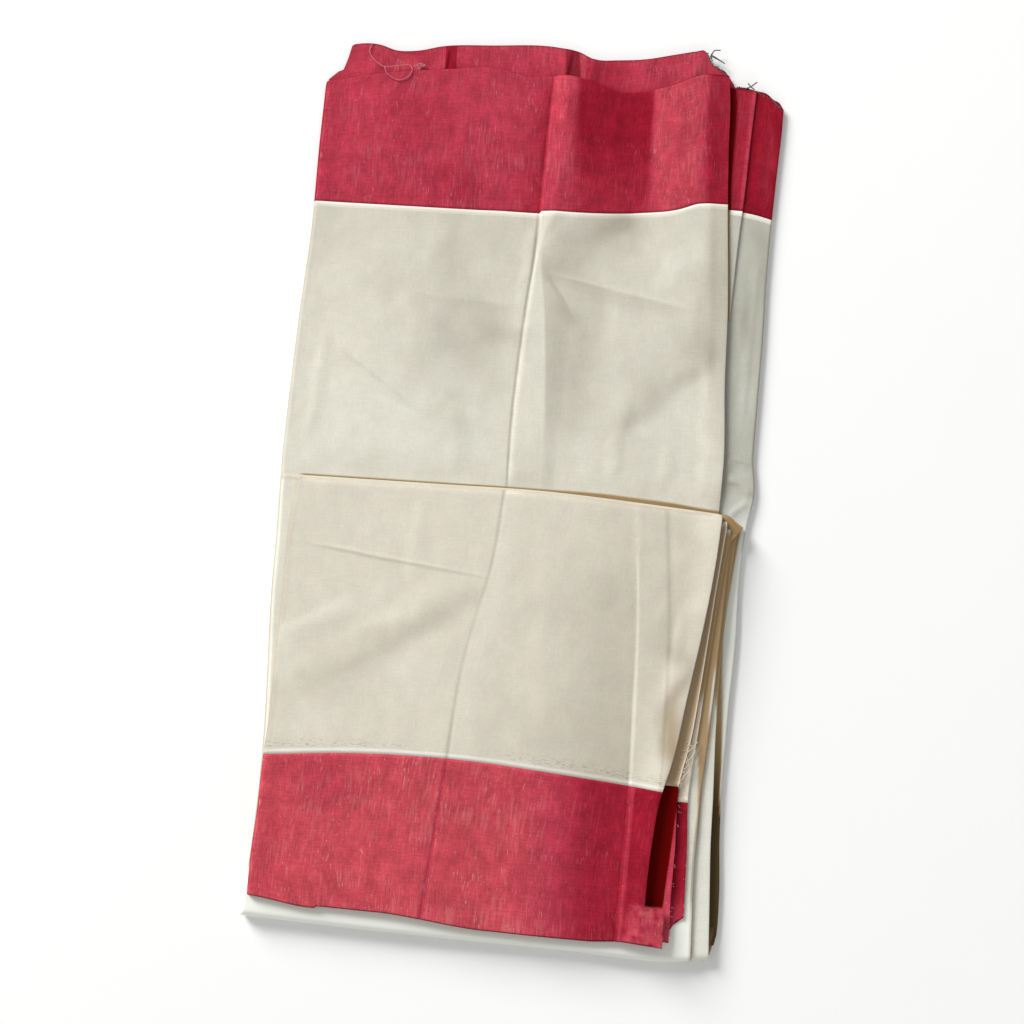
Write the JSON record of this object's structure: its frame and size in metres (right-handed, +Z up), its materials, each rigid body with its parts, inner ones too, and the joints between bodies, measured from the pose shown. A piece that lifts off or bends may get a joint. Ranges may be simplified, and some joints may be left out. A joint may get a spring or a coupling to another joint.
{
  "type": "folded cotton saree",
  "caption": "Cotton saree folded flat into a long packet: cream cloth, red borders at both ends, the lower end turned up and its tip turned down as a flap.",
  "frame": {"origin": "middle of the packet's outline, on the surface that it rests on", "axes": "+X across the packet towards the loose leaves, +Y along it from the bottom fold to the open red edges, +Z up from the surface"},
  "size_m": [0.323, 0.6235, 0.0186],
  "materials": {
    "cream_cotton": "unbleached plain-weave cotton, matt, with slubs and faint press creases",
    "red_cotton": "dyed plain-weave cotton border, matt, streaked with paler slubs"
  },
  "bodies": {
    "root": {"base_layers_field": "cream_cotton", "base_layers_border": "red_cotton", "front_field": "cream_cotton", "front_border": "red_cotton", "rear_border": "red_cotton", "side_field": "cream_cotton", "side_border": "red_cotton", "strip_field": "cream_cotton", "strip_border": "red_cotton", "turned_layers": "cream_cotton", "turned_field": "cream_cotton", "turned_leaf": "cream_cotton", "flap_layers_field": "cream_cotton", "flap_layers_border": "red_cotton", "flap_field": "cream_cotton", "flap_border": "red_cotton", "leaf2_field": "cream_cotton", "leaf2_border": "red_cotton", "leaf3_field": "cream_cotton", "leaf3_border": "red_cotton"}
  },
  "joints": []
}
